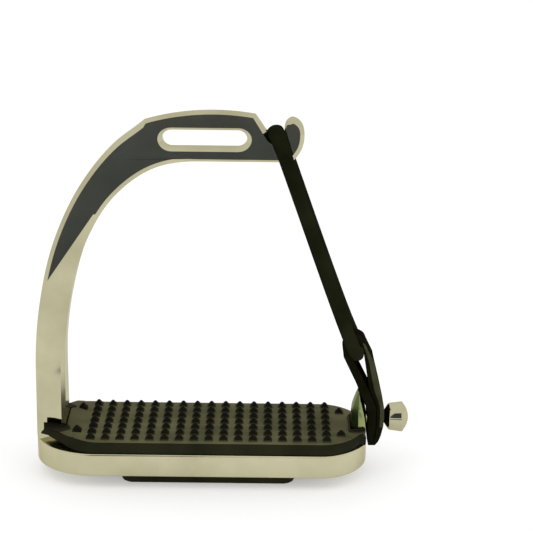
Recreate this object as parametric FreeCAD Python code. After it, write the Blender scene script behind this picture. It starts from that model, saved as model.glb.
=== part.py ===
"""Safety stirrup iron with a release ring: cast frame, stud, rubber tread, leather tab and rubber ring.

Frame: X runs along the tread towards the ring side, Y from the front face to the back face, Z up.
The origin is the middle of the face that the iron stands on, under the tread pad. Millimetres.
"""
import FreeCAD
import Part
import math
import os

V = FreeCAD.Vector

# Tread: heights above the surface that the iron stands on
RIM_BOTTOM = 5.3
RIM_TOP = 15.0
PAD_TOP = 20.0
RIM_HALF_DEPTH = 22.6
RIM_LEFT = -71.7
RIM_LEFT_ROUND = 25.0
RIM_RIGHT = 65.0
RIM_RIGHT_ROUND = 19.5
RIM_WALL = 6.2
OPENING_LEFT = -52.0
OPENING_RIGHT = 50.0
RIM_EDGE = 1.2

# Eye plate, arch and arm
PLATE_HALF = 3.5
ARM_OUTER = -71.2
ARM_INNER = -59.1
ARM_STRAIGHT_TOP = 45.0
PLATE_BOTTOM = 132.2
CREASE_INNER = V(-46.8, 0, 109.6)
CREASE_OUTER = V(-65.3, 0, 82.4)
ARM_THICKENING = 0.112
EDGE_CHAMFER = 1.0
SLOT_CENTRE = V(-2.1, 0, 141.2)
SLOT_LENGTH = 33.6
SLOT_HEIGHT = 7.4
SLOT_CHAMFER = 1.0
NOTCH_CENTRE = V(26.2, 0, 144.0)
NOTCH_RADIUS = 3.1
NOTCH_SIDE_ANGLE = math.radians(212.6)

# Lug and stud on the ring side
STUD_HEIGHT = 23.7
LUG_INNER = 58.4
LUG_OUTER = 64.7
LUG_TOP = 36.0
LUG_HALF_DEPTH = 8.0
LUG_FLAT_RADIUS = 4.1
TAB_LEAN = math.radians(25.8)
NECK_RADIUS = 2.5
NECK_END = 72.0
SHOULDER_X = 73.8
SHOULDER_RADIUS = 5.45
HEAD_X = 79.3
HEAD_RADIUS = 6.3
HEAD_END = 82.1
DOME_RADIUS = (HEAD_RADIUS ** 2 + (HEAD_END - HEAD_X) ** 2) / (2 * (HEAD_END - HEAD_X))
STUD_ROOT = 60.5

# Leather tab
TAB_HALF_WIDTH = 8.0
LEATHER = 3.2
TAB_INNER_FACE = 65.2
TAB_OUTER_FACE = 71.8
TAB_TAIL_END = 11.4
TAIL_TAPER_TOP = 22.0
TAIL_TAPER = 2.4
LAYERS_MEET = V(65.2, 0, 38.0)
LAYERS_UPRIGHT_BELOW = 30.5
HOLE_CLEARANCE = 0.08
OUTER_LAYER_LEAN = math.radians(13.0)
TAIL_SLIT = 0.1

# Rubber ring
RING_AXIS = V(59.7, 0, 55.0)
RING_SECTION = 2.6
RING_LEAN = math.radians(20.5)
RING_SPAN = 94.8
RING_TOP_HALF = 6.4
RING_BOTTOM_HALF = 11.4
RING_TOP_CORNER = 2.9
RING_BOTTOM_CORNER = 2.9
FOLD_CLEARANCE = 0.08

# Rubber tread pad
PAD_HALF_DEPTH = 22.0
PAD_LEFT = -65.4
PAD_LEFT_ROUND = 19.7
PAD_RIGHT = 64.0
PAD_RIGHT_ROUND = 18.5
STUD_PITCH = 6.0
GRIP_COLUMNS = 17
GRIP_ROWS = 7
GRIP_BASE = 3.6
GRIP_FLAT = 0.5
GRIP_HEIGHT = 2.3
END_GRIP_Y = 12.0
PLUG_HALF_LENGTH = 35.0
PLUG_HALF_DEPTH = 15.9
PLUG_LIP = 1.2
COLLAR_THICKNESS = 2.4
ARM_COLLAR_HEIGHT = 4.3
LUG_COLLAR_HEIGHT = 2.9
ARM_COLLAR_LEFT = -69.6
ARM_CLEAR_HALF = 9.6
COLLAR_ROUND = 2.0
FIT_GAP = 0.15


def box(low, high):
    size = high - low
    return Part.makeBox(size.x, size.y, size.z, low)


def line(a, b):
    return Part.LineSegment(a, b).toShape()


def arc(a, middle, b):
    return Part.Arc(a, middle, b).toShape()


def spline(points, start=None, end=None):
    curve = Part.BSplineCurve()
    if start is None:
        curve.interpolate(points)
    else:
        curve.interpolate(Points=points, InitialTangent=start, FinalTangent=end)
    return curve.toShape()


def face(edges):
    return Part.Face(Part.Wire(Part.sortEdges(edges)[0]))


def half_ellipse(centre, reach, half_depth, side):
    """End of an oval: from the front straight side round to the back one."""
    front = centre - V(0, half_depth, 0)
    tip = centre + V(side * reach, 0, 0)
    back = centre + V(0, half_depth, 0)
    if reach == half_depth:
        return arc(front, tip, back)
    if reach > half_depth:
        curve = Part.Ellipse(tip, back, centre)
    else:
        curve = Part.Ellipse(back, tip, centre)
    low, middle, high = (curve.parameter(point) for point in (front, tip, back))
    full = 2 * math.pi
    if (middle - low) % full > (high - low) % full:
        low, high = high, low
    return curve.toShape(low, low + (high - low) % full)


def oval(left, left_round, right, right_round, half_depth, z):
    """Flat outline with straight sides and a half ellipse at each end."""
    start, end = left + left_round, right - right_round
    edges = [
        line(V(start, -half_depth, z), V(end, -half_depth, z)),
        line(V(end, half_depth, z), V(start, half_depth, z)),
        half_ellipse(V(start, 0, z), left_round, half_depth, -1),
        half_ellipse(V(end, 0, z), right_round, half_depth, 1),
    ]
    return face(edges)


def rounded_box(low, high, radius, edges_along="Z"):
    block = box(low, high)
    chosen = []
    for edge in block.Edges:
        ends = [vertex.Point for vertex in edge.Vertexes]
        along = ends[1] - ends[0]
        if abs(getattr(along, edges_along.lower())) > 0.99 * along.Length:
            chosen.append(edge)
    return block.makeFillet(radius, chosen)


def frame_outline():
    """Front view of the arm, the arch, the eye plate and the hook."""
    top_left = V(-26.0, 0, 148.0)
    top_right = V(17.9, 0, 150.6)
    notch_side = NOTCH_CENTRE + toward(NOTCH_SIDE_ANGLE) * NOTCH_RADIUS
    hook_side = V(NOTCH_CENTRE.x + NOTCH_RADIUS, 0, NOTCH_CENTRE.z)
    hook_inner = V(hook_side.x, 0, 145.4)
    hook_tip = V(32.4, 0, 149.6)
    hook_outer = V(37.1, 0, 143.2)
    hook_root = V(31.0, 0, PLATE_BOTTOM)
    arch_inner = V(-5.0, 0, PLATE_BOTTOM)
    outer = [
        V(ARM_OUTER, 0, ARM_STRAIGHT_TOP),
        V(-69.0, 0, 72.3),
        V(-62.4, 0, 99.2),
        V(-51.7, 0, 121.4),
        V(-38.3, 0, 138.2),
        top_left,
    ]
    inner = [
        arch_inner,
        V(-21.8, 0, 129.3),
        V(-37.9, 0, 117.6),
        V(-48.9, 0, 100.1),
        V(-55.0, 0, 80.5),
        V(-58.4, 0, 60.0),
        V(ARM_INNER, 0, 40.0),
    ]
    return [
        line(V(ARM_OUTER, 0, RIM_BOTTOM), outer[0]),
        spline(outer, V(0, 0, 1), V(0.75, 0, 0.66)),
        arc(top_left, V(-3.0, 0, 151.9), top_right),
        line(top_right, notch_side),
        arc(notch_side, V(NOTCH_CENTRE.x, 0, NOTCH_CENTRE.z - NOTCH_RADIUS), hook_side),
        line(hook_side, hook_inner),
        spline([hook_inner, V(30.3, 0, 148.5), hook_tip], V(0, 0, 1), V(1, 0, 0)),
        spline([hook_tip, V(35.7, 0, 147.7), hook_outer], V(1, 0, 0), V(0, 0, -1)),
        spline([hook_outer, V(35.4, 0, 136.2), hook_root], V(0, 0, -1), V(-1, 0, 0)),
        line(hook_root, arch_inner),
        spline(inner, V(-1, 0, 0), V(0, 0, -1)),
        line(inner[-1], V(ARM_INNER, 0, RIM_BOTTOM)),
        line(V(ARM_INNER, 0, RIM_BOTTOM), V(ARM_OUTER, 0, RIM_BOTTOM)),
    ]


def wedge(apex, along, down, rate):
    """Wedge, level along one line, whose half thickness grows at a steady rate away from that line."""
    reach = 160.0
    start = apex - down * (PLATE_HALF / rate) - along * 200
    corner = start + down * reach
    spread = V(0, reach * rate, 0)
    triangle = [start, corner + spread, corner - spread, start]
    return Part.Face(Part.makePolygon(triangle)).extrude(along * 400)


def arm_thickening():
    """The arm grows deeper below a slanting crease on the arch, and nowhere on the eye plate."""
    along = (CREASE_OUTER - CREASE_INNER).normalize()
    slanting = wedge(CREASE_INNER, along, V(-along.z, 0, along.x), ARM_THICKENING)
    level = wedge(CREASE_INNER, V(1, 0, 0), V(0, 0, -1), 2 * ARM_THICKENING)
    return slanting.common(level)


def slot_wire(growth, y):
    """Outline of the slot with round ends, grown outwards all round."""
    radius = SLOT_HEIGHT / 2 + growth
    reach = V((SLOT_LENGTH - SLOT_HEIGHT) / 2, 0, 0)
    rise = V(0, 0, radius)
    left = SLOT_CENTRE - reach + V(0, y, 0)
    right = SLOT_CENTRE + reach + V(0, y, 0)
    edges = [
        line(left + rise, right + rise),
        arc(right + rise, right + V(radius, 0, 0), right - rise),
        line(right - rise, left - rise),
        arc(left - rise, left - V(radius, 0, 0), left + rise),
    ]
    return Part.Wire(Part.sortEdges(edges)[0])


def stirrup_leather_slot():
    """Slot through the eye plate, opened out by a chamfer on both faces."""
    slot = Part.Face(slot_wire(0, -PLATE_HALF - 1)).extrude(V(0, 2 * PLATE_HALF + 2, 0))
    for side in (-1, 1):
        inner = slot_wire(0, side * (PLATE_HALF - SLOT_CHAMFER))
        outer = slot_wire(SLOT_CHAMFER + 0.5, side * (PLATE_HALF + 0.5))
        slot = slot.fuse(Part.makeLoft([inner, outer], True, True))
    return slot


def upper_frame():
    outline = face(frame_outline())
    outline.translate(V(0, -RIM_HALF_DEPTH, 0))
    prism = outline.extrude(V(0, 2 * RIM_HALF_DEPTH, 0))
    slab = box(V(-80, -PLATE_HALF, RIM_BOTTOM), V(50, PLATE_HALF, 160))
    column = oval(RIM_LEFT, RIM_LEFT_ROUND, RIM_RIGHT, RIM_RIGHT_ROUND, RIM_HALF_DEPTH, RIM_BOTTOM + RIM_EDGE)
    body = prism.common(slab.fuse(arm_thickening())).common(column.extrude(V(0, 0, 160)))
    body = body.removeSplitter()
    top_edges = []
    for edge in body.Edges:
        place = edge.CenterOfMass
        on_plate_face = abs(abs(place.y) - PLATE_HALF) < 0.01 and edge.BoundBox.YLength < 0.01
        if on_plate_face and place.z > SLOT_CENTRE.z and abs(place.x - SLOT_CENTRE.x) < 8:
            top_edges.append(edge)
    return body.makeChamfer(EDGE_CHAMFER, top_edges)


def tread_ring():
    outer = oval(RIM_LEFT, RIM_LEFT_ROUND, RIM_RIGHT, RIM_RIGHT_ROUND, RIM_HALF_DEPTH, RIM_BOTTOM)
    ring = outer.extrude(V(0, 0, RIM_TOP - RIM_BOTTOM))
    middle = (RIM_BOTTOM + RIM_TOP) / 2
    rims = [edge for edge in ring.Edges if abs(edge.CenterOfMass.z - middle) > middle - RIM_BOTTOM - 0.1]
    ring = ring.makeFillet(RIM_EDGE, rims)
    inner_half = RIM_HALF_DEPTH - RIM_WALL
    opening = oval(OPENING_LEFT, inner_half, OPENING_RIGHT, inner_half, inner_half, RIM_BOTTOM - 1)
    return ring.cut(opening.extrude(V(0, 0, RIM_TOP - RIM_BOTTOM + 2)))


def lug():
    """Upright ear: its outer face is flat round the stud and falls away as a cone above that."""
    base = V(0, -LUG_HALF_DEPTH, 0)
    profile = [
        V(LUG_INNER, 0, RIM_BOTTOM + 1),
        V(LUG_INNER, 0, 27.0),
        V(59.3, 0, 31.5),
        V(60.4, 0, LUG_TOP),
        V(LUG_OUTER, 0, LUG_TOP),
        V(LUG_OUTER, 0, RIM_BOTTOM + 1),
        V(LUG_INNER, 0, RIM_BOTTOM + 1),
    ]
    side = Part.Face(Part.makePolygon([p + base for p in profile]))
    ear = side.extrude(V(0, 2 * LUG_HALF_DEPTH, 0))
    half = LUG_HALF_DEPTH + 0.01
    front = [
        V(50, -half, RIM_BOTTOM),
        V(50, -half, 24.0),
        V(50, -3.2, LUG_TOP + 0.01),
        V(50, 3.2, LUG_TOP + 0.01),
        V(50, half, 24.0),
        V(50, half, RIM_BOTTOM),
        V(50, -half, RIM_BOTTOM),
    ]
    ear = ear.common(Part.Face(Part.makePolygon(front)).extrude(V(20, 0, 0)))
    fall = math.tan(TAB_LEAN)
    reach = 20.0
    axis = V(LUG_OUTER, 0, STUD_HEIGHT)
    outline = [
        axis + V(-reach, 0, 0),
        axis,
        axis + V(0, 0, LUG_FLAT_RADIUS),
        axis + V(-fall * reach, 0, LUG_FLAT_RADIUS + reach),
        axis + V(-reach, 0, LUG_FLAT_RADIUS + reach),
        axis + V(-reach, 0, 0),
    ]
    cone = Part.Face(Part.makePolygon(outline)).revolve(axis, V(1, 0, 0), 360)
    above = ear.common(box(V(50, -20, STUD_HEIGHT), V(80, 20, 60))).common(cone)
    below = ear.common(box(V(50, -20, RIM_TOP), V(80, 20, STUD_HEIGHT)))
    rim = oval(RIM_LEFT, RIM_LEFT_ROUND, RIM_RIGHT, RIM_RIGHT_ROUND, RIM_HALF_DEPTH, RIM_BOTTOM + RIM_EDGE)
    foot = ear.common(rim.extrude(V(0, 0, RIM_TOP - RIM_BOTTOM - RIM_EDGE)))
    return above.fuse([below, foot]).removeSplitter()


def iron_frame():
    whole = upper_frame().fuse([tread_ring(), lug()]).removeSplitter()
    return whole.cut(stirrup_leather_slot()).cut(stud())


def stud():
    """Turned stud: a root riveted into the lug, a neck for the leather and a domed head."""
    half_angle = math.asin(HEAD_RADIUS / DOME_RADIUS) / 2
    dome_centre = HEAD_END - DOME_RADIUS
    dome_middle = V(dome_centre + DOME_RADIUS * math.cos(half_angle), 0, DOME_RADIUS * math.sin(half_angle))
    outline = [
        line(V(STUD_ROOT, 0, 0), V(STUD_ROOT, 0, NECK_RADIUS)),
        line(V(STUD_ROOT, 0, NECK_RADIUS), V(NECK_END, 0, NECK_RADIUS)),
        line(V(NECK_END, 0, NECK_RADIUS), V(SHOULDER_X, 0, SHOULDER_RADIUS)),
        line(V(SHOULDER_X, 0, SHOULDER_RADIUS), V(HEAD_X, 0, HEAD_RADIUS)),
        arc(V(HEAD_X, 0, HEAD_RADIUS), dome_middle, V(HEAD_END, 0, 0)),
        line(V(HEAD_END, 0, 0), V(STUD_ROOT, 0, 0)),
    ]
    turned = face(outline).revolve(V(0, 0, 0), V(1, 0, 0), 360)
    turned.translate(V(0, 0, STUD_HEIGHT))
    return turned


def grip_point(x, y):
    """One small pyramid with a blunt tip, sunk a little so that it joins the pad."""
    sink = 0.2
    squares = []
    for half, z in ((GRIP_BASE / 2, PAD_TOP - sink), (GRIP_FLAT / 2, PAD_TOP + GRIP_HEIGHT)):
        corners = [V(x + i * half, y + j * half, z) for i, j in ((-1, -1), (1, -1), (1, 1), (-1, 1))]
        squares.append(Part.makePolygon(corners + corners[:1]))
    return Part.makeLoft(squares, True, True)


def grip_points():
    points = []
    for column in range(GRIP_COLUMNS):
        x = (column - (GRIP_COLUMNS - 1) / 2) * STUD_PITCH
        for row in range(GRIP_ROWS):
            points.append(grip_point(x, (row - (GRIP_ROWS - 1) / 2) * STUD_PITCH))
    end_x = (GRIP_COLUMNS + 1) / 2 * STUD_PITCH
    for x in (-end_x, end_x):
        for y in (-END_GRIP_Y, END_GRIP_Y):
            points.append(grip_point(x, y))
    return points


def arm_section():
    """Clearance block for the arm where it passes the pad, open at the left end."""
    low = V(RIM_LEFT - 5, -ARM_CLEAR_HALF, RIM_BOTTOM)
    return box(low, V(ARM_INNER + FIT_GAP, ARM_CLEAR_HALF, PAD_TOP + 20))


def lug_section():
    half = LUG_HALF_DEPTH + FIT_GAP
    return box(V(LUG_INNER - FIT_GAP, -half, RIM_BOTTOM), V(RIM_RIGHT + 5, half, PAD_TOP + 20))


def tread_pad():
    flange = oval(PAD_LEFT, PAD_LEFT_ROUND, PAD_RIGHT, PAD_RIGHT_ROUND, PAD_HALF_DEPTH, RIM_TOP)
    pad = flange.extrude(V(0, 0, PAD_TOP - RIM_TOP))
    arm_half = ARM_CLEAR_HALF + COLLAR_THICKNESS
    arm_collar = rounded_box(
        V(ARM_COLLAR_LEFT, -arm_half, RIM_TOP),
        V(ARM_INNER + COLLAR_THICKNESS, arm_half, PAD_TOP + ARM_COLLAR_HEIGHT),
        COLLAR_ROUND,
    )
    lug_half = LUG_HALF_DEPTH + FIT_GAP + COLLAR_THICKNESS
    lug_collar = rounded_box(
        V(LUG_INNER - COLLAR_THICKNESS, -lug_half, RIM_TOP),
        V(RIM_RIGHT - 0.4, lug_half, PAD_TOP + LUG_COLLAR_HEIGHT),
        COLLAR_ROUND,
    )
    plug = rounded_box(
        V(-PLUG_HALF_LENGTH, -PLUG_HALF_DEPTH, 0), V(PLUG_HALF_LENGTH, PLUG_HALF_DEPTH, RIM_TOP + 1), 5.0
    )
    lip = rounded_box(
        V(-PLUG_HALF_LENGTH, -PLUG_HALF_DEPTH - PLUG_LIP, 0),
        V(PLUG_HALF_LENGTH, PLUG_HALF_DEPTH + PLUG_LIP, RIM_BOTTOM),
        6.0,
    )
    bottom = [e for e in lip.Edges if abs(e.CenterOfMass.z) < 0.01]
    lip = lip.makeFillet(1.6, bottom)
    plug = plug.cut(box(V(-50, -30, -1), V(50, 30, RIM_BOTTOM)))
    pad = pad.fuse([arm_collar, lug_collar, plug, lip])
    pad = pad.cut(arm_section()).cut(lug_section()).removeSplitter()
    return pad.fuse(grip_points()).removeSplitter()


def toward(angle):
    """Unit vector in the XZ plane, turned by angle from +X towards +Z."""
    return V(math.cos(angle), 0, math.sin(angle))


def leather_tab():
    """Strap folded over the ring's lower bar, both ends buttoned on the stud, with a short tail."""
    inside = RING_SECTION + FOLD_CLEARANCE
    outside = inside + LEATHER
    left = toward(math.pi + TAB_LEAN)
    right = toward(OUTER_LAYER_LEAN)
    down_left = V(-left.z, 0, left.x)
    down_right = V(right.z, 0, -right.x)
    left_out = RING_AXIS + left * outside
    right_out = RING_AXIS + right * outside
    left_in = RING_AXIS + left * inside
    right_in = RING_AXIS + right * inside
    run = (TAB_INNER_FACE - left_out.x) / down_left.x
    left_knee = left_out + down_left * run
    run = (TAB_OUTER_FACE - right_out.x) / down_right.x
    right_knee = right_out + down_right * run
    middle = (TAB_INNER_FACE + TAB_OUTER_FACE) / 2
    gap = V(TAIL_SLIT / 2, 0, 0)
    slit_top = V(middle, 0, LAYERS_UPRIGHT_BELOW)
    slit_low = V(middle, 0, TAIL_TAPER_TOP)
    tail = TAB_TAIL_END
    tail_outer = TAB_OUTER_FACE - TAIL_TAPER
    slit_end = V((TAB_INNER_FACE + tail_outer) / 2, 0, tail)
    edges = [
        arc(left_out, RING_AXIS + V(0, 0, outside), right_out),
        line(right_out, right_knee),
        line(right_knee, V(TAB_OUTER_FACE, 0, TAIL_TAPER_TOP)),
        line(V(TAB_OUTER_FACE, 0, TAIL_TAPER_TOP), V(tail_outer, 0, tail)),
        line(V(tail_outer, 0, tail), slit_end + gap),
        line(slit_end + gap, slit_low + gap),
        line(slit_low + gap, slit_top + gap),
        line(slit_top + gap, LAYERS_MEET + gap),
        line(LAYERS_MEET + gap, right_in),
        arc(right_in, RING_AXIS + V(0, 0, inside), left_in),
        line(left_in, LAYERS_MEET - gap),
        line(LAYERS_MEET - gap, slit_top - gap),
        line(slit_top - gap, slit_low - gap),
        line(slit_low - gap, slit_end - gap),
        line(slit_end - gap, V(TAB_INNER_FACE, 0, tail)),
        line(V(TAB_INNER_FACE, 0, tail), left_knee),
        line(left_knee, left_out),
    ]
    strip = face(edges)
    strip.translate(V(0, -TAB_HALF_WIDTH, 0))
    strap = strip.extrude(V(0, 2 * TAB_HALF_WIDTH, 0))
    rounding = rounded_box(V(50, -TAB_HALF_WIDTH, tail - 6), V(80, TAB_HALF_WIDTH, 80), 5.0, "X")
    lowered = rounding.copy()
    lowered.translate(V(0, 0, 6.0))
    strap = strap.common(lowered.fuse(box(V(50, -20, 40), V(80, 20, 80))))
    hole = Part.makeCylinder(NECK_RADIUS + HOLE_CLEARANCE, 30, V(55, 0, STUD_HEIGHT), V(1, 0, 0))
    return strap.cut(hole)


def ring_path():
    """Centre line of the ring: a slim trapezium with round corners, leaning towards the hook."""
    up = toward(math.pi / 2 + RING_LEAN)
    across = V(0, 1, 0)
    corners = [
        (RING_AXIS - across * RING_BOTTOM_HALF, RING_BOTTOM_CORNER),
        (RING_AXIS + across * RING_BOTTOM_HALF, RING_BOTTOM_CORNER),
        (RING_AXIS + across * RING_TOP_HALF + up * RING_SPAN, RING_TOP_CORNER),
        (RING_AXIS - across * RING_TOP_HALF + up * RING_SPAN, RING_TOP_CORNER),
    ]
    starts, middles, ends = [], [], []
    for index, (corner, radius) in enumerate(corners):
        back = (corners[index - 1][0] - corner).normalize()
        ahead = (corners[(index + 1) % 4][0] - corner).normalize()
        half = back.getAngle(ahead) / 2
        setback = radius / math.tan(half)
        inward = (back + ahead).normalize()
        starts.append(corner + back * setback)
        middles.append(corner + inward * (radius / math.sin(half) - radius))
        ends.append(corner + ahead * setback)
    edges = []
    for index in range(4):
        edges.append(arc(starts[index], middles[index], ends[index]))
        edges.append(line(ends[index], starts[(index + 1) % 4]))
    return Part.Wire(Part.sortEdges(edges)[0])


def rubber_ring():
    pieces = []
    for edge in ring_path().Edges:
        start = edge.valueAt(edge.FirstParameter)
        along = edge.tangentAt(edge.FirstParameter)
        circle = Part.Wire(Part.makeCircle(RING_SECTION, start, along))
        pieces.append(Part.Wire(edge).makePipeShell([circle], True, True))
    return pieces[0].fuse(pieces[1:]).removeSplitter()


PARTS = {
    "iron_frame": iron_frame,
    "stud": stud,
    "tread_pad": tread_pad,
    "rubber_ring": rubber_ring,
    "leather_tab": leather_tab,
}

os.makedirs("parts", exist_ok=True)
for name, build in PARTS.items():
    shape = build()
    shape.exportStep("parts/" + name + ".step")
    print(name, "solids", len(shape.Solids), "valid", shape.isValid(), "volume", round(shape.Volume))
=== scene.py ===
import math

import bmesh
import bpy
from mathutils import Matrix, Vector


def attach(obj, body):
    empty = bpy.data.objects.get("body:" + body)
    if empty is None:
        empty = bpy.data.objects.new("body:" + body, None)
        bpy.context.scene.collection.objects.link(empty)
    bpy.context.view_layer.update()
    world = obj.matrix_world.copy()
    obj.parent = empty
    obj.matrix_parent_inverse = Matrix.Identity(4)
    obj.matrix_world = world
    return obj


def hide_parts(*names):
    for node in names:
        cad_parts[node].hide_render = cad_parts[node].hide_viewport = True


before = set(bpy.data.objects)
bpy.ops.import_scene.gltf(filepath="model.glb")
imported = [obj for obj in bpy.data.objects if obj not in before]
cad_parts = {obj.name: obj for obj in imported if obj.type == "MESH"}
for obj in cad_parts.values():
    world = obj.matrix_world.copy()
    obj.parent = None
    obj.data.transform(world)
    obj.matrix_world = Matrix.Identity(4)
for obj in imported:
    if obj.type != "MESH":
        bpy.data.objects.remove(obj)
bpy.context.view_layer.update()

MM = 0.001

# Heights and outlines shared with the CAD model, in millimetres
RIM_BOTTOM, RIM_TOP, PAD_TOP = 5.3, 15.0, 20.0
RIM_HALF_DEPTH = 22.6
RIM_LEFT, RIM_LEFT_ROUND = -71.7, 25.0
RIM_RIGHT, RIM_RIGHT_ROUND = 65.0, 19.5
PLATE_HALF = 3.5
STUD_HEIGHT = 23.7
SLOT_CENTRE = Vector((-2.1, 141.2))  # x and height
SLOT_ZONE_HALF_LENGTH = 20
PLATE_BOTTOM = 132.2
GRIP_PITCH = 6.0
RING_AXIS = Vector((59.7, 0, 55.0))
RING_LEAN = math.radians(20.5)
RING_LENGTH = 94.8
TAB_TAIL = 11.5


def srgb(red, green, blue):
    """Linear colour from three 0-255 screen values."""
    out = []
    for value in (red, green, blue):
        share = value / 255
        out.append(share / 12.92 if share <= 0.04045 else ((share + 0.055) / 1.055) ** 2.4)
    return (*out, 1)


# ---------------------------------------------------------------- materials

def new_material(name):
    material = bpy.data.materials.new(name)
    material.use_nodes = True
    tree = material.node_tree
    return material, tree, tree.nodes["Principled BSDF"]


def add_node(tree, kind, **values):
    node = tree.nodes.new(kind)
    for key, value in values.items():
        if key in node.inputs:
            node.inputs[key].default_value = value
        else:
            setattr(node, key, value)
    return node


def noise(tree, scale, detail=4.0, roughness=0.5):
    coords = add_node(tree, "ShaderNodeTexCoord")
    node = add_node(tree, "ShaderNodeTexNoise")
    node.inputs["Scale"].default_value = scale
    node.inputs["Detail"].default_value = detail
    node.inputs["Roughness"].default_value = roughness
    tree.links.new(coords.outputs["Object"], node.inputs["Vector"])
    return node


def ramp(tree, source, stops):
    node = add_node(tree, "ShaderNodeValToRGB")
    elements = node.color_ramp.elements
    while len(elements) < len(stops):
        elements.new(0.5)
    for element, (place, colour) in zip(elements, stops):
        element.position = place
        element.color = colour
    tree.links.new(source, node.inputs["Fac"])
    return node


def spread(tree, source, low, high):
    """Maps a 0-1 texture onto a range of plain values."""
    node = add_node(tree, "ShaderNodeMapRange")
    node.inputs["To Min"].default_value = low
    node.inputs["To Max"].default_value = high
    tree.links.new(source, node.inputs["Value"])
    return node


def bump(tree, shader, height, strength, distance):
    node = add_node(tree, "ShaderNodeBump")
    node.inputs["Strength"].default_value = strength
    node.inputs["Distance"].default_value = distance
    tree.links.new(height, node.inputs["Height"])
    tree.links.new(node.outputs["Normal"], shader.inputs["Normal"])
    return node


def steel_material(name, dark, light, smooth):
    material, tree, shader = new_material(name)
    shader.inputs["Metallic"].default_value = 1.0
    shader.inputs["Specular Tint"].default_value = (0.72, 0.7, 0.58, 1)
    cloud = noise(tree, 45, 3)
    colours = ramp(tree, cloud.outputs["Fac"], [(0.35, dark), (0.65, light)])
    tree.links.new(colours.outputs["Color"], shader.inputs["Base Color"])
    fine = noise(tree, 900, 5, 0.7)
    rough = spread(tree, fine.outputs["Fac"], smooth, smooth + 0.05)
    tree.links.new(rough.outputs["Result"], shader.inputs["Roughness"])
    bump(tree, shader, cloud.outputs["Fac"], 0.05, 0.0004)
    return material


def rubber_material(name, dark, light, roughness, grain, depth, shine=0.06):
    material, tree, shader = new_material(name)
    cloud = noise(tree, 60, 4)
    colours = ramp(tree, cloud.outputs["Fac"], [(0.3, dark), (0.7, light)])
    tree.links.new(colours.outputs["Color"], shader.inputs["Base Color"])
    fine = noise(tree, grain, 6, 0.65)
    shader.inputs["Specular IOR Level"].default_value = shine
    rough = spread(tree, fine.outputs["Fac"], roughness - 0.08, roughness + 0.08)
    tree.links.new(rough.outputs["Result"], shader.inputs["Roughness"])
    bump(tree, shader, fine.outputs["Fac"], 0.35, depth)
    return material


def shade_by_height(material, low, high, dark):
    """Blends the material's colour into a darker one between two heights."""
    tree = material.node_tree
    base = tree.nodes["Principled BSDF"].inputs["Base Color"]
    coords = add_node(tree, "ShaderNodeTexCoord")
    axes = add_node(tree, "ShaderNodeSeparateXYZ")
    tree.links.new(coords.outputs["Object"], axes.inputs["Vector"])
    share = add_node(tree, "ShaderNodeMapRange")
    share.inputs["From Min"].default_value = low
    share.inputs["From Max"].default_value = high
    tree.links.new(axes.outputs["Z"], share.inputs["Value"])
    mix = add_node(tree, "ShaderNodeMix", data_type="RGBA")
    tree.links.new(share.outputs["Result"], mix.inputs[0])
    tree.links.new(base.links[0].from_socket, mix.inputs[6])
    mix.inputs[7].default_value = dark
    tree.links.new(mix.outputs[2], base)


def leather_material(name, dark, light):
    material, tree, shader = new_material(name)
    coords = add_node(tree, "ShaderNodeTexCoord")
    cells = add_node(tree, "ShaderNodeTexVoronoi", feature="DISTANCE_TO_EDGE")
    cells.inputs["Scale"].default_value = 1100
    tree.links.new(coords.outputs["Object"], cells.inputs["Vector"])
    cloud = noise(tree, 140, 5, 0.6)
    colours = ramp(tree, cloud.outputs["Fac"], [(0.3, dark), (0.72, light)])
    shader.inputs["Specular IOR Level"].default_value = 0.0
    tree.links.new(colours.outputs["Color"], shader.inputs["Base Color"])
    rough = spread(tree, cloud.outputs["Fac"], 0.42, 0.62)
    tree.links.new(rough.outputs["Result"], shader.inputs["Roughness"])
    bump(tree, shader, cells.outputs["Distance"], 0.25, 0.0003)
    return material


STEEL = steel_material("polished_steel", srgb(174, 169, 138), srgb(191, 186, 155), 0.04)
EDGE_STEEL = steel_material("edge_steel", srgb(176, 172, 139), srgb(195, 190, 159), 0.2)
# Painted reflection: the tread ring's steel is a lighter copy of the arm's steel, standing in for the
# brighter floor reflection in the rim
TREAD_STEEL_PAINTED_BRIGHT = steel_material("tread_steel_painted_bright", srgb(182, 177, 143), srgb(195, 190, 159), 0.16)
# Painted reflection: the lug's steel is a green-tinted copy, standing in for a greenish reflection in its
# faces
LUG_STEEL_PAINTED_REFLECTION = steel_material("lug_steel_painted_reflection", srgb(138, 146, 96), srgb(152, 160, 110), 0.2)
# Painted shade: a darker green copy of the lug's steel for its inward faces
LUG_SHADE = steel_material("lug_shade", srgb(84, 98, 62), srgb(98, 112, 74), 0.3)
# The pad's top is a lighter copy of its rubber: dust, and painted light falling from above
TREAD_TOP_DUST_AND_LIGHT = rubber_material("tread_top_dust_and_light", srgb(68, 67, 44), srgb(95, 92, 65), 0.75, 700, 0.0003, 0.04)
TREAD_SIDE = rubber_material("tread_side", srgb(25, 26, 15), srgb(39, 39, 24), 0.6, 700, 0.0003, 0.03)
TREAD_POINTS = rubber_material("tread_points", srgb(64, 62, 42), srgb(84, 81, 57), 0.6, 700, 0.0003, 0.03)
# Painted shade: the lips are a darker copy of the pad's top, for the shade in their hollows, and are blended
# to near black towards their top edge
TREAD_LIP_PAINTED_SHADE = rubber_material("tread_lip_painted_shade", srgb(40, 38, 26), srgb(60, 57, 40), 0.7, 700, 0.0003, 0.02)
RING_RUBBER = rubber_material("ring_rubber", srgb(19, 21, 11), srgb(33, 35, 21), 0.5, 500, 0.0002, 0.0)
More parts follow.
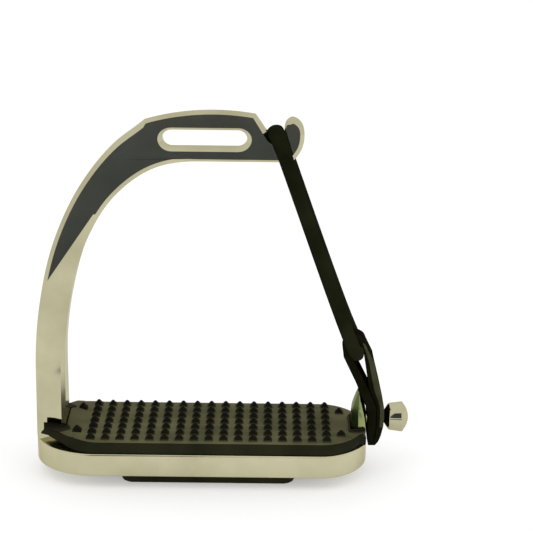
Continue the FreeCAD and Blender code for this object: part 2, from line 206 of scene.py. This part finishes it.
# Painted shade: the lips blacken towards their top edge
shade_by_height(TREAD_LIP_PAINTED_SHADE, (PAD_TOP + 0.5) * MM, (PAD_TOP + 2.8) * MM, srgb(13, 13, 7))
shade_by_height(TREAD_POINTS, (PAD_TOP - 0.1) * MM, (PAD_TOP + 0.75) * MM, srgb(20, 20, 12))
LEATHER = leather_material("strap_leather", srgb(13, 13, 7), srgb(26, 25, 14))
LEATHER_EDGE = leather_material("strap_edge", srgb(48, 49, 33), srgb(72, 72, 51))


# ---------------------------------------------------------------- mesh helpers

def finish_piece(name, mesh, material, body, smooth_angle=32):
    piece = bpy.data.objects.new(name, mesh)
    bpy.context.scene.collection.objects.link(piece)
    mesh.materials.clear()
    mesh.materials.append(material)
    mesh.shade_smooth()
    mesh.set_sharp_from_angle(angle=math.radians(smooth_angle))
    mesh.transform(Matrix.Scale(MM, 4))
    mesh.update()
    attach(piece, body)
    return piece


def clamp(value):
    return min(max(value, 0), 1)


def cut_across(bm, place, way):
    """Adds edges where a plane crosses the mesh, without removing anything."""
    bmesh.ops.bisect_plane(
        bm, geom=bm.verts[:] + bm.edges[:] + bm.faces[:], dist=0.0001, plane_co=place, plane_no=way
    )


def join_rings(bm, rings):
    """Walls between each ring of vertices and the next."""
    count = len(rings[0])
    for low, high in zip(rings, rings[1:]):
        for side in range(count):
            following = (side + 1) % count
            bm.faces.new((low[side], low[following], high[following], high[side]))


def mesh_from(bm, name):
    bmesh.ops.recalc_face_normals(bm, faces=bm.faces)
    mesh = bpy.data.meshes.new(name)
    bm.to_mesh(mesh)
    bm.free()
    return mesh


def curve_mesh(name, loops, half_depth, bevel, bevel_steps, upright):
    """Flat filled outlines with holes, given thickness and bevelled edges on both faces."""
    data = bpy.data.curves.new(name, "CURVE")
    data.dimensions = "2D"
    data.fill_mode = "BOTH"
    data.extrude = half_depth - bevel
    data.bevel_depth = bevel
    data.bevel_resolution = bevel_steps
    data.offset = -bevel
    for loop in loops:
        spline = data.splines.new("POLY")
        spline.points.add(len(loop) - 1)
        for point, (x, y) in zip(spline.points, loop):
            point.co = (x, y, 0, 1)
        spline.use_cyclic_u = True
    holder = bpy.data.objects.new(name + "_outline", data)
    bpy.context.scene.collection.objects.link(holder)
    bpy.context.view_layer.update()
    graph = bpy.context.evaluated_depsgraph_get()
    mesh = bpy.data.meshes.new_from_object(holder.evaluated_get(graph))
    bpy.data.objects.remove(holder)
    bpy.data.curves.remove(data)
    if upright:
        mesh.transform(Matrix.Rotation(math.pi / 2, 4, "X"))
    bm = bmesh.new()
    bm.from_mesh(mesh)
    bmesh.ops.remove_doubles(bm, verts=bm.verts, dist=0.001)
    bm.to_mesh(mesh)
    bm.free()
    return mesh


def bezier_points(start, control_a, control_b, end, steps):
    out = []
    for step in range(steps):
        t = step / steps
        u = 1 - t
        out.append(start * u ** 3 + control_a * 3 * u * u * t + control_b * 3 * u * t * t + end * t ** 3)
    return out


def smooth_run(points, start_way, end_way, steps):
    """Hermite curve through points, without the last one. The end tangents are given as directions."""
    points = [Vector(p) for p in points]
    ways = []
    for index, point in enumerate(points):
        if index == 0:
            ways.append(Vector(start_way).normalized())
        elif index == len(points) - 1:
            ways.append(Vector(end_way).normalized())
        else:
            before = point - points[index - 1]
            after = points[index + 1] - point
            ways.append((before / before.length_squared + after / after.length_squared).normalized())
    out = []
    for a, b, way_a, way_b in zip(points, points[1:], ways, ways[1:]):
        third = (b - a).length / 3
        out += bezier_points(a, a + way_a * third, b - way_b * third, b, steps)
    return out


def arc_points(centre, radius, start, end, steps):
    """Points on a circle from one angle to another, in degrees, with both ends."""
    out = []
    for step in range(steps + 1):
        angle = math.radians(start + (end - start) * step / steps)
        out.append(Vector((centre[0] + radius * math.cos(angle), centre[1] + radius * math.sin(angle))))
    return out


def arc_through(a, b, c, steps):
    """Points from a to c, through b, on one circle. The last point is left out."""
    ax, ay, bx, by, cx, cy = a[0], a[1], b[0], b[1], c[0], c[1]
    d = 2 * (ax * (by - cy) + bx * (cy - ay) + cx * (ay - by))
    sa, sb, sc = ax * ax + ay * ay, bx * bx + by * by, cx * cx + cy * cy
    centre = Vector(((sa * (by - cy) + sb * (cy - ay) + sc * (ay - by)) / d,
                     (sa * (cx - bx) + sb * (ax - cx) + sc * (bx - ax)) / d))
    first = math.atan2(ay - centre.y, ax - centre.x)
    middle = math.atan2(by - centre.y, bx - centre.x)
    last = math.atan2(cy - centre.y, cx - centre.x)
    sweep = (last - first) % math.tau
    if (middle - first) % math.tau > sweep:
        sweep -= math.tau
    radius = (Vector(a[:2]) - centre).length
    out = []
    for step in range(steps):
        angle = first + sweep * step / steps
        out.append(centre + radius * Vector((math.cos(angle), math.sin(angle))))
    return out


def oval(left, left_round, right, right_round, half_depth, steps=24):
    start, end = left + left_round, right - right_round
    out = []
    for step in range(steps + 1):
        angle = -math.pi / 2 + math.pi * step / steps
        out.append(Vector((end + right_round * math.cos(angle), half_depth * math.sin(angle))))
    for step in range(steps + 1):
        angle = math.pi / 2 + math.pi * step / steps
        out.append(Vector((start + left_round * math.cos(angle), half_depth * math.sin(angle))))
    return out


# ---------------------------------------------------------------- iron

def arch_outline():
    """Front view of the arm, arch, eye plate and hook, counter-clockwise from the arm's outer foot."""
    outer = [(-71.2, 45.0), (-69.0, 72.3), (-62.4, 99.2), (-51.7, 121.4), (-38.3, 138.2), (-26.0, 148.0)]
    inner = [
        (-5.0, PLATE_BOTTOM), (-21.8, 129.3), (-37.9, 117.6), (-48.9, 100.1), (-55.0, 80.5), (-58.4, 60.0),
        (-59.1, 40.0),
    ]
    out = [Vector((-71.2, 9.0))]
    out += smooth_run(outer, (0, 1), (0.75, 0.66), 10)
    out += arc_through((-26.0, 148.0), (-3.0, 151.9), (17.9, 150.6), 16)
    out += [Vector((17.9, 150.6))]
    out += arc_points((26.2, 144.0), 3.1, 212.6, 360, 10)
    out += smooth_run([(29.3, 145.4), (30.3, 148.5), (32.4, 149.6)], (0, 1), (1, 0), 5)
    out += smooth_run([(32.4, 149.6), (35.7, 147.7), (37.1, 143.2)], (1, 0), (0, -1), 6)
    out += smooth_run([(37.1, 143.2), (35.4, 136.2), (31.0, PLATE_BOTTOM)], (0, -1), (-1, 0), 6)
    out += [Vector((31.0, PLATE_BOTTOM))]
    out += smooth_run(inner, (-1, 0), (0, -1), 10)
    out += [Vector((-59.1, 40.0)), Vector((-59.1, 9.0))]
    return out


def slot_outline():
    reach, radius = Vector((13.1, 0)), 3.7
    right = arc_points(SLOT_CENTRE + reach, radius, 90, -90, 12)
    left = arc_points(SLOT_CENTRE - reach, radius, 270, 90, 12)
    return right + left


def thicken_arm(mesh):
    """The arm grows deeper towards the tread from a slanting crease across the arch."""
    inner, outer = Vector((-46.8, 0, 109.6)), Vector((-65.3, 0, 82.4))
    along = (outer - inner).normalized()
    down = Vector((-along.z, 0, along.x))
    bm = bmesh.new()
    bm.from_mesh(mesh)
    for reach in (0, 4, 10, 20, 32, 50, 58, 64):
        cut_across(bm, inner + down * reach, down)
    for vert in bm.verts:
        reach = (vert.co - inner).dot(down)
        level = inner.z - vert.co.z
        growth = max(0.0, min(0.112 * reach, 0.224 * level))
        vert.co.y *= (PLATE_HALF + growth) / PLATE_HALF
        across = vert.co.y / RIM_HALF_DEPTH
        rim = RIM_LEFT + RIM_LEFT_ROUND * (1 - math.sqrt(max(0.0, 1 - across ** 2)))
        vert.co.x = max(vert.co.x, rim + 0.1 - 0.3 * max(vert.co.z - RIM_TOP, 0))
    return mesh_from(bm, mesh.name)


def plate_bevel_depth(vert, chamfer, shallow):
    """Depth of the bevel: full where it faces up, shallow at the sides, shallowest under the plate."""
    near_slot = abs(vert.co.z - SLOT_CENTRE.y) < 4.5
    in_slot = abs(vert.co.x - SLOT_CENTRE.x) < SLOT_ZONE_HALF_LENGTH and near_slot
    extra = 0.5 if in_slot else chamfer - shallow
    depth = shallow + extra * clamp(vert.normal.z / 0.4)
    if vert.co.z > 131:
        depth -= 0.35 * clamp((-vert.normal.z - 0.45) / 0.4)
    return depth


def trim_plate_face(vert):
    """Moves the flat face's border, so that the bevels differ in width round the plate."""
    above_slot = vert.co.z - SLOT_CENTRE.y
    if 29.4 < vert.co.x < 31.6 and 141.5 < vert.co.z < 147.6:
        vert.co.x -= 1.3
    elif abs(vert.co.x - SLOT_CENTRE.x) < SLOT_ZONE_HALF_LENGTH and abs(above_slot) < 5.8:
        away = above_slot / 5.4
        vert.co.z -= (0.8 if away > 0 else 0.45) * away
    elif vert.co.z > 146 and vert.co.x < 18:
        vert.co.z += 0.9 * clamp((vert.co.x + 38) / 14)
    elif 132 < vert.co.z < 134.2:
        vert.co.z -= 0.8 * clamp((vert.co.x + 14) / 10)


def arch_mesh():
    """Plate with chamfers all round; the hook has almost none on the side of its notch."""
    chamfer, shallow = 1.7, 0.8
    mesh = curve_mesh("iron_arch", [arch_outline(), slot_outline()], PLATE_HALF, chamfer, 0, True)
    for vert in mesh.vertices:
        if abs(vert.co.y) < PLATE_HALF - 0.1:
            depth = plate_bevel_depth(vert, chamfer, shallow)
            vert.co.y = math.copysign(PLATE_HALF - depth, vert.co.y)
        else:
            trim_plate_face(vert)
    return mesh


arch = finish_piece("iron_arch", thicken_arm(arch_mesh()), STEEL, "iron", 20)
arch.data.materials.append(EDGE_STEEL)
for face in arch.data.polygons:
    if abs(face.normal.y) > 0.9:
        face.use_smooth = False
    elif abs(face.normal.y) < 0.3 or face.center.z < 0.045:
        face.material_index = 1


def tread_ring():
    wall = 6.2
    half = RIM_HALF_DEPTH - wall
    outer = oval(RIM_LEFT, RIM_LEFT_ROUND, RIM_RIGHT, RIM_RIGHT_ROUND, RIM_HALF_DEPTH, 32)
    inner = oval(-52.0, half, 50.0, half, half, 24)
    inner.reverse()
    half_height = (RIM_TOP - RIM_BOTTOM) / 2
    mesh = curve_mesh("iron_tread", [outer, inner], half_height, 0.8, 3, False)
    mesh.transform(Matrix.Translation((0, 0, RIM_BOTTOM + half_height)))
    return mesh


# The tread ring uses the lighter steel copy, a painted reflection
tread = finish_piece("iron_tread", tread_ring(), TREAD_STEEL_PAINTED_BRIGHT, "iron", 40)


def lug_mesh():
    """Upright ear: bevelled on its inner side, leaning in above the stud, with a rounded top."""
    # height, inner face, start of the inner bevel, outer face, half depth, cut of the outer corners
    levels = [
        (13.5, 58.4, 60.9, 63.6, 7.8, 0.1),
        (20.0, 58.4, 60.9, 64.5, 7.9, 0.1),
        (25.0, 58.5, 61.0, 64.4, 7.9, 0.6),
        (28.0, 58.8, 61.1, 64.2, 7.6, 1.0),
        (30.2, 59.4, 61.2, 63.6, 7.1, 1.0),
        (32.5, 60.1, 61.3, 63.0, 6.0, 0.9),
        (34.4, 60.7, 61.4, 62.5, 4.5, 0.5),
        (35.4, 61.0, 61.4, 62.0, 3.0, 0.1),
    ]
    bm = bmesh.new()
    rings = []
    for height, inner, bevel, outer, half, cut in levels:
        front = ((inner, half * 0.5), (bevel, half), (outer - cut, half), (outer, half * 0.5))
        outline = [(x, -y) for x, y in front] + list(reversed(front))
        rings.append([bm.verts.new((x, y, height)) for x, y in outline])
    join_rings(bm, rings)
    bm.faces.new(rings[0])
    bm.faces.new(rings[-1])
    bmesh.ops.recalc_face_normals(bm, faces=bm.faces)
    edges = [e for e in bm.edges if abs(e.verts[0].co.z - e.verts[1].co.z) > 1.0]
    bmesh.ops.bevel(bm, geom=edges, offset=0.25, segments=2, affect="EDGES", profile=0.5)
    return mesh_from(bm, "iron_lug")


# The lug takes the green-tinted steel copy, a painted reflection
lug = finish_piece("iron_lug", lug_mesh(), LUG_STEEL_PAINTED_REFLECTION, "iron", 30)
lug.data.materials.append(LUG_SHADE)
# Painted shade: faces turned inwards get the darker green copy
for face in lug.data.polygons:
    if face.normal.x < -0.3:
        face.material_index = 1
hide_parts("iron_frame")
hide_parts("iron_frame")
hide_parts("iron_frame")


def stud_mesh():
    """Turned stud: rings along the X axis, closed by a fan of faces at each end."""
    dome_centre, dome_radius = 73.61, 8.49
    turns = 64
    profile = [(60.5, 2.5), (71.7, 2.5), (72.1, 2.7), (73.5, 5.0), (73.9, 5.45)]
    profile += [(74.3, 5.6), (78.9, 6.2), (79.3, 6.25), (79.7, 6.1)]
    for step in range(1, 7):
        angle = math.radians(45 * (1 - step / 7))
        profile.append((dome_centre + dome_radius * math.cos(angle), dome_radius * math.sin(angle)))
    bm = bmesh.new()
    rings = []
    for x, radius in profile:
        ring = []
        for turn in range(turns):
            angle = math.tau * turn / turns
            ring.append(bm.verts.new((x, radius * math.cos(angle), STUD_HEIGHT + radius * math.sin(angle))))
        rings.append(ring)
    join_rings(bm, rings)
    for ring, x in ((rings[0], profile[0][0]), (rings[-1], dome_centre + dome_radius)):
        middle = bm.verts.new((x, 0, STUD_HEIGHT))
        for turn in range(turns):
            bm.faces.new((ring[turn], ring[(turn + 1) % turns], middle))
    return mesh_from(bm, "stud_knob")


stud = finish_piece("stud_knob", stud_mesh(), STEEL, "iron", 35)
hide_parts("stud")


# ---------------------------------------------------------------- tread pad

def pad_outline():
    """Plan of the flange with the arm's notch at the left end and the lug's at the right end."""
    half, right_round, left_round = 22.0, 18.5, 19.7
    start, end = -65.4 + left_round, 64.0 - right_round
    steps = 16
    front = []
    for step in range(steps + 1):
        angle = -math.pi / 2 + math.radians(60) * step / steps
        front.append(Vector((end + right_round * math.cos(angle), half * math.sin(angle))))
    front += [Vector(p) for p in ((63.1, -9.5), (64.2, -8.4), (64.2, -8.15), (58.25, -8.15))]
    left = [Vector(p) for p in (
        (-58.95, -9.6), (-69.0, -9.6), (-69.0, -9.9), (-67.8, -10.8), (-66.0, -11.9), (-63.5, -13.3)
    )]
    for step in range(steps + 1):
        angle = math.pi + math.radians(42) + math.radians(48) * step / steps
        left.append(Vector((start + left_round * math.cos(angle), half * math.sin(angle))))
    back = [Vector((p.x, -p.y)) for p in reversed(front)]
    back += [Vector((p.x, -p.y)) for p in reversed(left)]
    return front + back + left


def curl(x, y):
    """How far the pad's top rises towards its left end; the back corner rises more."""
    rise = 1.0 * clamp((-45.0 - x) / 9) ** 1.3 + 0.6 * clamp((-59.0 - x) / 7)
    if y > 9:
        rise += 1.1 * clamp((-53.5 - x) / 3.5)
    return rise


def flange_mesh():
    """Flat flange whose left end curls up thin in front of and behind the arm."""
    half_height = (PAD_TOP - RIM_TOP) / 2
    mesh = curve_mesh("pad_flange", [pad_outline()], half_height, 0.6, 3, False)
    mesh.transform(Matrix.Translation((0, 0, RIM_TOP + half_height)))
    bm = bmesh.new()
    bm.from_mesh(mesh)
    for place in (-46.0, -49.0, -52.0, -55.0, -57.5, -60.0, -62.0, -64.0, -66.0, -67.5):
        cut_across(bm, (place, 0, 0), (1, 0, 0))
    for vert in bm.verts:
        share = (vert.co.z - RIM_TOP) / (PAD_TOP - RIM_TOP)
        under = 3.4 * clamp((-50.0 - vert.co.x) / 16) ** 2
        over = curl(vert.co.x, vert.co.y) - 2.6 * clamp((-66.8 - vert.co.x) / 2.2)
        vert.co.z += under * (1 - share) + over * share
    return mesh_from(bm, "pad_flange")


flange = finish_piece("pad_flange", flange_mesh(), TREAD_SIDE, "iron", 45)
flange.data.materials.append(TREAD_TOP_DUST_AND_LIGHT)
# Upward faces get the lighter copy: dust and painted light
for face in flange.data.polygons:
    if face.normal.z > 0.8:
        face.material_index = 1


def grip_mesh():
    """Rows of small blunt pyramids."""
    bm = bmesh.new()
    places = [((c - 8) * GRIP_PITCH, (r - 3) * GRIP_PITCH) for c in range(17) for r in range(7)]
    places += [(x * GRIP_PITCH, y * GRIP_PITCH) for x in (-9, 9) for y in (-2, 2)]
    levels = ((1.85, -0.3), (1.8, 0.1), (0.4, 2.15), (0.18, 2.3))
    for x, y in places:
        base = PAD_TOP + curl(x, y)
        rings = []
        for half, up in levels:
            rings.append([
                bm.verts.new((x + i * half, y + j * half, base + up))
                for i, j in ((-1, -1), (1, -1), (1, 1), (-1, 1))
            ])
        join_rings(bm, rings)
        bm.faces.new(rings[-1])
        bm.faces.new(reversed(rings[0]))
    return mesh_from(bm, "pad_points")


points = finish_piece("pad_points", grip_mesh(), TREAD_POINTS, "iron", 30)


def rounded_block(half_x, half_y, radius):
    """Plan of a rectangle with round corners."""
    x, y = half_x - radius, half_y - radius
    out = []
    for centre, start in (((x, -y), -90), ((x, y), 0), ((-x, y), 90), ((-x, -y), 180)):
        out += arc_points(centre, radius, start, start + 90, 8)
    return out


def plug_mesh():
    """Block that fills the tread's opening and stands below it with a wider foot."""
    foot_half_height, stem_half_height, stem_middle = 2.65, 6.5, 9.5
    foot = curve_mesh("pad_foot", [rounded_block(35.5, 17.1, 5.0)], foot_half_height, 1.3, 3, False)
    foot.transform(Matrix.Translation((-0.4, 0, foot_half_height)))
    stem = curve_mesh("pad_stem", [rounded_block(34.6, 15.9, 5.0)], stem_half_height, 0.4, 1, False)
    stem.transform(Matrix.Translation((0, 0, stem_middle)))
    bm = bmesh.new()
    bm.from_mesh(foot)
    bm.from_mesh(stem)
    return mesh_from(bm, "pad_plug")


plug = finish_piece("pad_plug", plug_mesh(), TREAD_SIDE, "iron", 45)


def lip_section(tall, deep):
    """Lip seen from its end: pairs of reach from the wall and height above the pad."""
    rim = min(1.2, deep * 0.8)
    section = [
        (0.0, -1.6), (0.0, 0.9 * tall), (0.25 * rim, tall), (0.7 * rim, 0.98 * tall),
        (0.95 * rim, 0.86 * tall), (rim, 0.62 * tall),
    ]
    for step in range(1, 6):
        share = step / 5
        section.append((rim + (deep - rim) * share, 0.62 * tall * (1 - share) ** 2.2))
    section.append((deep, -1.6))
    return section


def lip_mesh():
    """Upright lips round the arm and the lug, each with a hollow slope to the pad's edge."""
    # x, y, height above the pad and depth of the lip, along half of each route
    arm = [
        (-67.7, -9.75, 3.5, 0.9), (-66.4, -9.75, 3.5, 1.7), (-64.4, -9.75, 3.4, 3.3),
        (-62.2, -9.75, 3.1, 4.6), (-60.2, -9.75, 2.5, 4.4), (-59.0, -9.5, 1.8, 2.8),
        (-58.75, -8.4, 1.4, 1.6), (-58.75, -6.5, 1.2, 1.0), (-58.75, -3.0, 1.2, 0.9),
        (-58.75, -0.1, 1.2, 0.9),
    ]
    ear = [
        (64.0, -8.25, 1.7, 0.9), (63.2, -8.3, 1.9, 1.0), (61.5, -8.3, 1.7, 1.2), (59.8, -8.3, 1.4, 1.3),
        (58.5, -8.1, 1.0, 1.3), (58.05, -7.0, 0.8, 1.0), (58.05, -3.0, 0.7, 0.9), (58.05, -0.1, 0.7, 0.9),
    ]
    bm = bmesh.new()
    for half_route, side in ((arm, 1), (ear, -1)):
        route = half_route + [(x, -y, tall, deep) for x, y, tall, deep in reversed(half_route)]
        fine = []
        for index in range(len(route) - 1):
            a, b = Vector(route[index]), Vector(route[index + 1])
            for step in range(4):
                fine.append(a.lerp(b, step / 4))
        fine.append(Vector(route[-1]))
        rings = []
        for index, (x, y, tall, deep) in enumerate(fine):
            way = (fine[min(index + 2, len(fine) - 1)].xy - fine[max(index - 2, 0)].xy).normalized()
            outward = Vector((way.y, -way.x)) * side
            lift = curl(x, y)
            ring = []
            for reach, rise in lip_section(tall, deep):
                height = PAD_TOP + max(rise, rise + lift * (1 - rise / tall))
                ring.append(bm.verts.new((x + outward.x * reach, y + outward.y * reach, height)))
            rings.append(ring)
        join_rings(bm, rings)
        bm.faces.new(rings[0])
        bm.faces.new(rings[-1])
    return mesh_from(bm, "pad_lips")


lips = finish_piece("pad_lips", lip_mesh(), TREAD_LIP_PAINTED_SHADE, "iron", 40)
lips.data.materials.append(TREAD_POINTS)
# Painted shade: the lips' steep faces and ends take the darker points material
for face in lips.data.polygons:
    if face.normal.z < 0.35:
        face.material_index = 1
for piece in (flange, points, plug, lips):
    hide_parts("tread_pad")


# ---------------------------------------------------------------- rubber ring

def ring_route():
    """Middle line of the ring in its own plane, as y and length along the lean, with round corners."""
    round_radius = 2.9
    corners = [Vector(p) for p in ((-11.4, 0.0), (11.4, 0.0), (6.4, RING_LENGTH), (-6.4, RING_LENGTH))]
    route = []
    for index, corner in enumerate(corners):
        following = corners[(index + 1) % 4]
        back = (corners[index - 1] - corner).normalized()
        ahead = (following - corner).normalized()
        half = back.angle(ahead) / 2
        centre = corner + (back + ahead).normalized() * (round_radius / math.sin(half))
        a = corner + back * (round_radius / math.tan(half)) - centre
        b = corner + ahead * (round_radius / math.tan(half)) - centre
        sweep = a.angle(b)
        for step in range(9):
            t = step / 8
            direction = (a * math.sin((1 - t) * sweep) + b * math.sin(t * sweep)) / math.sin(sweep)
            route.append(centre + direction)
        run_end = following - (following - corner).normalized() * round_radius
        start = route[-1]
        count = 14 if index in (1, 3) else 3
        for step in range(1, count):
            route.append(start.lerp(run_end, step / count))
    return route


def ring_mesh():
    """Closed slim loop with round corners; its section is a soft-cornered block."""
    up = Vector((math.sin(-RING_LEAN), 0, math.cos(RING_LEAN)))
    side = Vector((math.cos(RING_LEAN), 0, math.sin(RING_LEAN)))
    across = Vector((0, 1, 0))
    route = ring_route()
    total = len(route)
    section_steps = 20
    bm = bmesh.new()
    rings = []
    for index, place in enumerate(route):
        way = (route[(index + 1) % total] - route[index - 1]).normalized()
        outward = Vector((way.y, -way.x))
        share = clamp(place.y / RING_LENGTH)
        top = clamp((share - 0.9) / 0.1) ** 1.5
        bow = -0.9 * math.sin(math.pi * share ** 0.45)
        bow -= 1.4 * top * (place.x + 6.4) / 12.8
        wide = 2.75 + 0.25 * share ** 4 + 0.45 * top
        power = 0.78 + 0.3 * top
        section = []
        for step in range(section_steps):
            angle = math.tau * step / section_steps
            c, s = math.cos(angle), math.sin(angle)
            x = math.copysign(abs(c) ** power, c) * wide
            n = math.copysign(abs(s) ** power, s) * 2.25
            flat = place + outward * n
            if flat.y < 0:
                flat.y *= 1 + 0.7 * clamp((abs(flat.x) - 8.4) / 1.6)
            section.append(bm.verts.new(RING_AXIS + across * flat.x + up * flat.y + side * (x + bow)))
        rings.append(section)
    join_rings(bm, rings + rings[:1])
    return mesh_from(bm, "release_ring")


ring = finish_piece("release_ring", ring_mesh(), RING_RUBBER, "ring", 60)
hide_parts("rubber_ring")


# ---------------------------------------------------------------- leather tab

def tab_route():
    """Side view of the strap, as pairs of an outer and an inner point, from one tail to the other."""
    inside, thickness = 2.68, 3.2
    start, end = math.pi + math.radians(25.8), math.radians(13.0)
    route = [
        ((65.7, TAB_TAIL), (67.2, TAB_TAIL)), ((65.25, 13.6), (67.5, 13.6)), ((65.1, 18.0), (68.0, 18.0)),
        ((64.95, 22.0), (68.45, 22.0)), ((64.9, 26.0), (68.5, 26.0)), ((64.5, 30.0), (68.4, 30.6)),
        ((63.3, 32.6), (67.2, 34.0)), ((61.6, 36.7), (65.2, 38.0)), ((59.6, 41.6), (62.9, 42.6)),
        ((57.0, 47.0), (60.1, 48.2)),
    ]
    centre = RING_AXIS.xz
    for step in range(15):
        angle = start + (end - start) * step / 14
        way = Vector((math.cos(angle), math.sin(angle)))
        worn = 1.5 * min(step / 3, 1)
        route.append((centre + way * (inside + thickness - worn), centre + way * inside))
    route += [
        ((66.9, 50.0), (63.2, 50.0)), ((67.8, 46.0), (63.9, 46.0)), ((69.2, 40.4), (64.8, 40.4)),
        ((69.8, 38.0), (65.3, 38.1)), ((70.7, 34.0), (67.3, 34.1)), ((71.5, 30.6), (68.5, 30.7)),
        ((71.7, 26.0), (68.6, 26.0)), ((71.4, 22.0), (68.55, 22.0)), ((70.5, 18.0), (68.1, 18.0)),
        ((69.5, 13.6), (67.6, 13.6)), ((68.3, TAB_TAIL), (67.3, TAB_TAIL)),
    ]
    return route


def tab_mesh():
    """Strap folded over the ring's lower bar; its layers lie together below that and thin out at the tail."""
    half_width = 8.0
    columns = (-1.0, -0.94, -0.75, -0.4, 0.0, 0.4, 0.75, 0.94, 1.0)
    bm = bmesh.new()
    rows = []
    for outer, inner in tab_route():
        outer, inner = Vector((outer[0], 0, outer[1])), Vector((inner[0], 0, inner[1]))
        across = (outer - inner).normalized()
        tail = max(0.0, 1 - (outer.z - TAB_TAIL) / 5)
        front, back = [], []
        for column in columns:
            trim = 0.5 if abs(column) == 1.0 else 0
            rise = 5.0 * tail * (1 - math.sqrt(max(0.0, 1 - column * column * 0.98)))
            shift = Vector((0, column * half_width, rise))
            front.append(bm.verts.new(outer + shift - across * trim))
            back.append(bm.verts.new(inner + shift + across * trim * 0.4))
        edge_rise = front[0].co.z - outer.z
        middle = []
        for side in (-1, 1):
            middle.append(bm.verts.new(outer.lerp(inner, 0.55) + Vector((0, side * half_width, edge_rise))))
        rows.append((front, back, middle))
    last = len(columns) - 1
    for (f0, b0, m0), (f1, b1, m1) in zip(rows, rows[1:]):
        for c in range(last):
            bm.faces.new((f0[c], f0[c + 1], f1[c + 1], f1[c]))
            bm.faces.new((b0[c], b1[c], b1[c + 1], b0[c + 1]))
        for c, side in ((0, 0), (last, 1)):
            bm.faces.new((f0[c], f1[c], m1[side], m0[side]))
            bm.faces.new((m0[side], m1[side], b1[c], b0[c]))
    for front, back, middle in (rows[0], rows[-1]):
        bm.faces.new((middle[0], front[0], front[1], back[1], back[0]))
        for c in range(1, last - 1):
            bm.faces.new((front[c], back[c], back[c + 1], front[c + 1]))
        bm.faces.new((middle[1], back[last], back[last - 1], front[last - 1], front[last]))
    return mesh_from(bm, "leather_strap")


tab = finish_piece("leather_strap", tab_mesh(), LEATHER, "tab", 50)
tab.data.materials.append(LEATHER_EDGE)
for face in tab.data.polygons:
    place = face.center / MM
    on_side = abs(face.normal.y) > 0.5
    on_outer_layer = 20 < place.z < 60 and place.x > 69.7 - 0.27 * max(place.z - 31.0, 0)
    if on_side and on_outer_layer:
        face.material_index = 1
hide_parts("leather_tab")


# ---------------------------------------------------------------- floor, light, camera

def stage_material(name, colour, roughness):
    material, _, shader = new_material(name)
    shader.inputs["Base Color"].default_value = colour
    shader.inputs["Roughness"].default_value = roughness
    return material


def plane(name, corners, material):
    mesh = bpy.data.meshes.new(name)
    mesh.from_pydata(corners, [], [list(range(len(corners)))])
    mesh.materials.append(material)
    obj = bpy.data.objects.new(name, mesh)
    bpy.context.scene.collection.objects.link(obj)
    return obj


# The floor is a light table: it glows a little, so the shadows on it stay faint
floor_finish = stage_material("floor", (0.62, 0.62, 0.62, 1), 0.8)
glow = floor_finish.node_tree.nodes["Principled BSDF"].inputs
glow["Emission Color"].default_value = (1, 1, 1, 1)
glow["Emission Strength"].default_value = 0.36
plane("floor", [(-4, -4, 0), (4, -4, 0), (4, 4, 0), (-4, 4, 0)], floor_finish)

# Two dark cards that are seen only in reflections, mostly in the plate and the stud
CARDS = {
    "front_card": [
        (-0.116, -0.80, 0.001), (0.12, -0.80, 0.001), (0.12, -0.17, 0.001), (-0.116, -0.17, 0.001),
    ],
    "upright_card": [
        (-0.24, -0.70, 0.10), (-0.03, -0.70, 0.10), (-0.03, -0.70, 0.75), (-0.24, -0.70, 0.75),
    ],
}
card_finish = stage_material("card", (0.050, 0.062, 0.096, 1), 0.9)
for name, corners in CARDS.items():
    card = plane(name, corners, card_finish)
    card.visible_camera = False
    card.visible_shadow = False
    card.visible_diffuse = False

world = bpy.data.worlds.new("studio")
world.use_nodes = True
world.node_tree.nodes["Background"].inputs["Color"].default_value = (1.0, 1.0, 1.0, 1)
world.node_tree.nodes["Background"].inputs["Strength"].default_value = 1.0
bpy.context.scene.world = world
bpy.context.scene.view_settings.view_transform = "Standard"


def area_light(name, place, size, power):
    """Soft light aimed at the tread; polished steel does not mirror it."""
    data = bpy.data.lights.new(name, "AREA")
    data.size = size
    data.energy = power
    obj = bpy.data.objects.new(name, data)
    obj.location = place
    obj.visible_glossy = False
    obj.rotation_euler = (Vector((0, 0, 0.05)) - Vector(place)).to_track_quat("-Z", "Y").to_euler()
    bpy.context.scene.collection.objects.link(obj)


area_light("key", (-0.5, -0.5, 1.1), 0.7, 1.5)
area_light("fill", (0.8, -0.3, 0.7), 0.8, 1.5)

# Camera: almost straight ahead along Y, looking down, a touch rolled
yaw, pitch, roll = math.radians(0.042), math.radians(17.432), math.radians(0.626)
forward = Vector((-math.sin(yaw) * math.cos(pitch), math.cos(yaw) * math.cos(pitch), -math.sin(pitch)))
level = Vector((math.cos(yaw), math.sin(yaw), 0))
upward = level.cross(forward)
right = level * math.cos(roll) + upward * math.sin(roll)
above = upward * math.cos(roll) - level * math.sin(roll)
camera_data = bpy.data.cameras.new("camera")
camera_data.sensor_width = 36
camera_data.lens = 111.44
camera = bpy.data.objects.new("camera", camera_data)
turn = Matrix((right, above, -forward)).transposed().to_4x4()
camera.matrix_world = Matrix.Translation((0.02318, -0.63501, 0.2876)) @ turn
bpy.context.scene.collection.objects.link(camera)
bpy.context.scene.camera = camera
